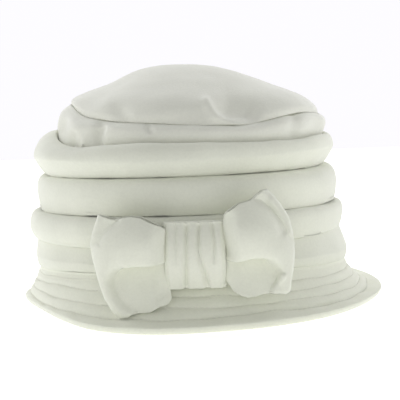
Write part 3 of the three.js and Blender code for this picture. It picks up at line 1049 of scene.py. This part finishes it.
def cup_share(x, z, rows):
    """0 outside a loop's cup, rising softly to 1 within it."""
    corners = [(row["x"], row["z"], row["soft"]) for row in rows]
    edge = spline(corners, 6 * (len(corners) - 1) + 1)
    nearest = np.full(x.shape, 1e9)
    soft = np.ones(x.shape)
    within = np.zeros(x.shape, bool)
    for a, b in zip(edge, np.roll(edge, -1, axis=0)):
        side = b - a
        length = max(1e-9, side[0] ** 2 + side[1] ** 2)
        t = np.clip(((x - a[0]) * side[0] + (z - a[1]) * side[1]) / length, 0, 1)
        away = np.hypot(x - a[0] - t * side[0], z - a[1] - t * side[1])
        soft = np.where(away < nearest, a[2] + t * side[2], soft)
        nearest = np.minimum(nearest, away)
        crosses = (a[1] > z) != (b[1] > z)
        rise = side[1] if abs(side[1]) > 1e-9 else 1e-9
        within ^= crosses & (x < a[0] + (z - a[1]) / rise * side[0])
    return np.where(within, smooth(nearest, 0, soft), 0)


def blurred(values, times):
    """The grid of values evened out with its neighbours."""
    for _ in range(times):
        padded = np.pad(values, 1, mode="edge")
        values = (
            padded[1:-1, 1:-1] * 2
            + padded[:-2, 1:-1]
            + padded[2:, 1:-1]
            + padded[1:-1, :-2]
            + padded[1:-1, 2:]
        ) / 6
    return values


def front_relief(x, z, past, front):
    """How far the front of a loop stands out at each point."""
    share = cup_share(x, z, front["cup"]) * mix(CUP_MOUTH, 1, smooth(past, 0, 0.3))
    up = smooth(z, CUP_FOOT["z"], CUP_TOP["z"])
    cup = CUP_DEEP * mix(CUP_FOOT["share"], CUP_TOP["share"], up)
    relief = mix(swells_high(x, z, front["swells"]), -cup, share)
    return blurred(relief, 2) + folds_out(x, z, front["folds"])


def within_room(relief, room):
    """Dents ease off before they reach the cloth behind them."""
    dent = np.maximum(0, -relief)
    room = np.maximum(0.1, room)
    return np.where(relief < 0, -dent / (1 + (dent / room) ** 4) ** 0.25, relief)


def loop_grid(loop, front):
    """The middle of a loop's strip, from the knot's front, round the outer fold, to its back."""
    way, up = np.meshgrid(np.linspace(0, 1, LOOP_WAY), np.linspace(0, 1, LOOP_UP), indexing="ij")
    out = np.minimum(1, np.sin(math.pi * way))
    side = np.cos(math.pi * way)
    past = np.maximum(0, (out - GATHERED) / (1 - GATHERED))
    free = smooth(past, 0, 0.25)
    end = lookup(loop["end"], "up", "x", up)
    mouth = KNOT_X + np.sign(end) * (KNOT_WIDE / 2 - 1)
    x = mix(mix(loop["start"], mouth, np.minimum(1, out / GATHERED)), end, past)
    tucked = loop["under"] * (1 - up) ** 4 * hump(past - 0.08, 0.12)
    x = x - np.sign(end) * tucked
    low = lookup(loop["edges"], "past", "low", past)
    high = lookup(loop["edges"], "past", "high", past)
    z = mix(low, high, up)
    middle = BOW_DEEP - BOW_BACK * past**2 + LOOP_LEAN * (1 - up) ** 2 * free
    half = mix(GATHERED_HALF, LOOP_HALF * mix(LOOP_FOOT, 1, smooth(up, 0, 0.6)), free)
    deep = middle + np.sign(side) * np.abs(side) ** 0.6 * half
    relief = front_relief(x, z, past, front) * smooth(past, 0, 0.05)
    relief = within_room(relief, 2 * np.abs(side) ** 0.6 * half - LAYERS_APART)
    deep = deep + np.where(side > 0, relief * smooth(side, 0, 0.2), 0)
    by_lip = np.exp(-((to_line(x, z, front["lip"]) / LIP_REACH) ** 2))
    z = z - np.where(side > 0, LIP_DROOP * by_lip * smooth(relief, 0, 7), 0)
    return np.stack([AXIS_X + x, AXIS_Y - deep, z], axis=2)


def bow_loop(name, loop, front):
    """Half of the bow: a strip that leaves the knot, folds over and comes back."""
    grid = loop_grid(loop, front)
    lumps = uneven(grid, LOOP_LUMPS["size"], 5) * LOOP_LUMPS["out"]
    grid = grid + grid_normals(grid, False) * lumps[:, :, None]
    normals = grid_normals(grid, False) * LAYER / 2
    return thick_sheet(name, grid + normals, grid - normals, BOW_FLEECE)


# Creases between the knot's folds: their line seen from the front, depth and half width.
LONG_CREASE = [(6.9, 61), (5.9, 47.5), (6.7, 40.3), (9.1, 30.8), (10.7, 21)]
KNOT_CREASES = [
    {"line": [(-6.3, 60), (-6.4, 42)], "deep": 1.1, "wide": 2.6},
    {"line": [(-0.2, 61), (-0.9, 42), (-1.6, 21)], "deep": 2.1, "wide": 2.6},
    {"line": LONG_CREASE, "deep": 2.1, "wide": 2.6},
    {"line": [(13.9, 61), (14.7, 50), (14.3, 41)], "deep": 1.6, "wide": 2.2},
]
KNOT_AROUND = 170
KNOT_ACROSS = 130
KNOT_EDGE = 3  # how far in from its sides the knot rounds off
KNOT_EDGE_DEEP = 3.6  # and how far back
KNOT_TOP_SINK = 2.5  # the most that a crease cuts into its top and bottom
KNOT_CORNER = 0.45  # how square the knot is at its top and bottom
KNOT_BARREL = 7.5  # how far its middle stands out beyond its top and bottom


def knot_face(inwards):
    """The knot's outer face drawn in by a distance, as round it x across it x 3."""
    angle = np.linspace(0, TURN, KNOT_AROUND, endpoint=False)[:, None]
    share = np.linspace(0, 1, KNOT_ACROSS)[None, :]
    x = KNOT_X + KNOT_WIDE * (share - 0.5) + 0 * angle
    half_high = (KNOT_HIGH - KNOT_LOW) / 2
    up = np.sign(np.sin(angle)) * np.abs(np.sin(angle)) ** KNOT_CORNER
    z = (KNOT_HIGH + KNOT_LOW) / 2 + half_high * up + 0 * x
    front = np.maximum(0, np.cos(angle)) ** 0.2
    sink = np.zeros_like(z)
    for row in KNOT_CREASES:
        away = to_line(x, z, row["line"]) / row["wide"]
        sink += row["deep"] * np.maximum(0, 1 - away) ** 1.7
    edge = np.minimum(share, 1 - share) * KNOT_WIDE / KNOT_EDGE
    sink += KNOT_EDGE_DEEP * np.maximum(0, 1 - edge) ** 2
    sink = sink * front + inwards
    half_deep = (KNOT_FRONT - KNOT_BACK) / 2
    forward = np.sign(np.cos(angle)) * np.abs(np.cos(angle)) ** KNOT_CORNER
    barrel = KNOT_BARREL * up**2 * front
    deep = (KNOT_FRONT + KNOT_BACK) / 2 + (half_deep - sink - barrel) * forward
    z = (KNOT_HIGH + KNOT_LOW) / 2 + (half_high - np.minimum(sink, KNOT_TOP_SINK)) * up
    return np.stack([AXIS_X + x, AXIS_Y - deep, z], axis=2)


def bow_knot():
    """The band gathered round the bow's middle."""
    outer = knot_face(0)
    inner = knot_face(LAYER + 0.1)
    grid = np.concatenate([outer, inner[:, ::-1]], axis=1)
    return closed_wall("bow_knot_cloth", grid, BOW_FLEECE)


# ---- The hat ----


def place(piece, node, slot):
    """The piece hangs from the hat's root and stands in for its solid, which is hidden."""
    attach(piece, "root")
    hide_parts(node)
    return piece


tip_cloth = place(crown_tip(), "crown_tip", "crown_fleece")
band_cloth = place(crown_band(), "crown_band", "crown_fleece")
side_cloth = place(pleated_side(), "pleated_side", "side_fleece")
brim_cloth = place(quilted_brim(), "brim", "brim_fleece")
left_cloth = place(bow_loop("bow_left_cloth", BOW_LEFT, LEFT_FRONT), "bow_loop_left", "bow_fleece")
right_cloth = place(bow_loop("bow_right_cloth", BOW_RIGHT, RIGHT_FRONT), "bow_loop_right", "bow_fleece")
knot_cloth = place(bow_knot(), "bow_knot", "bow_fleece")
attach(brim_stitching(), "root")


# ---- Floor, light and camera ----

CAMERA_FAR = 700  # mm in front of the head's centre line
CAMERA_HIGH = 130
CAMERA_SIDE = 7.8
CAMERA_DOWN = 5.7  # degrees
CAMERA_ROLL = 2  # degrees
LENS = 96.64
SENSOR = 36
SKY_STRENGTH = 0.4
AIM_HIGH = 0.07  # m, the height that the lights aim at
SOFTBOXES = [  # in metres and watts
    {"name": "left_softbox", "place": (-0.9, 0.25, 0.45), "size": 0.7, "watts": 2.9},
    {"name": "right_softbox", "place": (0.9, 0.25, 0.45), "size": 0.7, "watts": 2.4},
    {"name": "top_softbox", "place": (0, 0.65, 0.93), "size": 0.8, "watts": 3.6},
    {"name": "low_reflector", "place": (0, -1.6, 0.2), "size": 0.6, "watts": 2.2},
]


def stage_sheet(name, corners, paper):
    """One flat rectangle of the studio."""
    mesh = bpy.data.meshes.new(name)
    mesh.from_pydata(corners, [], [(0, 1, 2, 3)])
    mesh.materials.append(paper)
    sheet = bpy.data.objects.new(name, mesh)
    bpy.context.scene.collection.objects.link(sheet)


def lit_paper(name, own, roughness, glow, strength):
    """Matt studio paper under its own soft light, so that it stays white without a hot spot."""
    paper = bpy.data.materials.new(name)
    paper.use_nodes = True
    shader = paper.node_tree.nodes["Principled BSDF"]
    shader.inputs["Base Color"].default_value = linear(own)
    shader.inputs["Roughness"].default_value = roughness
    shader.inputs["Emission Color"].default_value = linear(glow)
    shader.inputs["Emission Strength"].default_value = strength
    return paper


def studio_floor():
    """A wide sheet of white paper under the hat."""
    wide = 4.0
    corners = [(-wide, -wide, 0), (wide, -wide, 0), (wide, wide, 0), (-wide, wide, 0)]
    stage_sheet("floor", corners, lit_paper("white_studio_paper", "#F6F6F6", 0.9, "#FFFFFF", 0.5))


def softbox(name, place, size, watts):
    """A square area light aimed at the middle of the hat."""
    light = bpy.data.lights.new(name, "AREA")
    light.size = size
    light.energy = watts
    lamp = bpy.data.objects.new(name, light)
    lamp.location = place
    aim = Vector((0, 0, AIM_HIGH)) - Vector(place)
    lamp.rotation_euler = aim.to_track_quat("-Z", "Y").to_euler()
    bpy.context.scene.collection.objects.link(lamp)


def studio_camera():
    """A camera in front of the hat, a little above it and looking slightly down."""
    data = bpy.data.cameras.new("studio_camera")
    data.lens = LENS
    data.sensor_width = SENSOR
    camera = bpy.data.objects.new("studio_camera", data)
    x = (AXIS_X + CAMERA_SIDE) * MM
    y = (AXIS_Y - CAMERA_FAR) * MM
    turn = Matrix.Rotation(math.radians(90 - CAMERA_DOWN), 4, "X")
    turn = turn @ Matrix.Rotation(math.radians(-CAMERA_ROLL), 4, "Z")
    camera.matrix_world = Matrix.Translation((x, y, CAMERA_HIGH * MM)) @ turn
    bpy.context.scene.collection.objects.link(camera)
    bpy.context.scene.camera = camera


def lit_backdrop():
    """A white backdrop, lit from the front, well behind the hat."""
    wide, high, far = 2.2, 2.4, 1.6
    corners = [(-wide, far, 0), (wide, far, 0), (wide, far, high), (-wide, far, high)]
    stage_sheet("backdrop", corners, lit_paper("lit_backdrop_paper", "#000000", 1, "#FCFBFF", 1))


def studio_world():
    """Even white light from all round."""
    world = bpy.data.worlds.new("studio")
    world.use_nodes = True
    sky = world.node_tree.nodes["Background"]
    sky.inputs["Color"].default_value = (1, 1, 1, 1)
    sky.inputs["Strength"].default_value = SKY_STRENGTH
    bpy.context.scene.world = world


bpy.context.scene.view_settings.view_transform = "Standard"
studio_floor()
lit_backdrop()
studio_world()
for lamp in SOFTBOXES:
    softbox(**lamp)
studio_camera()
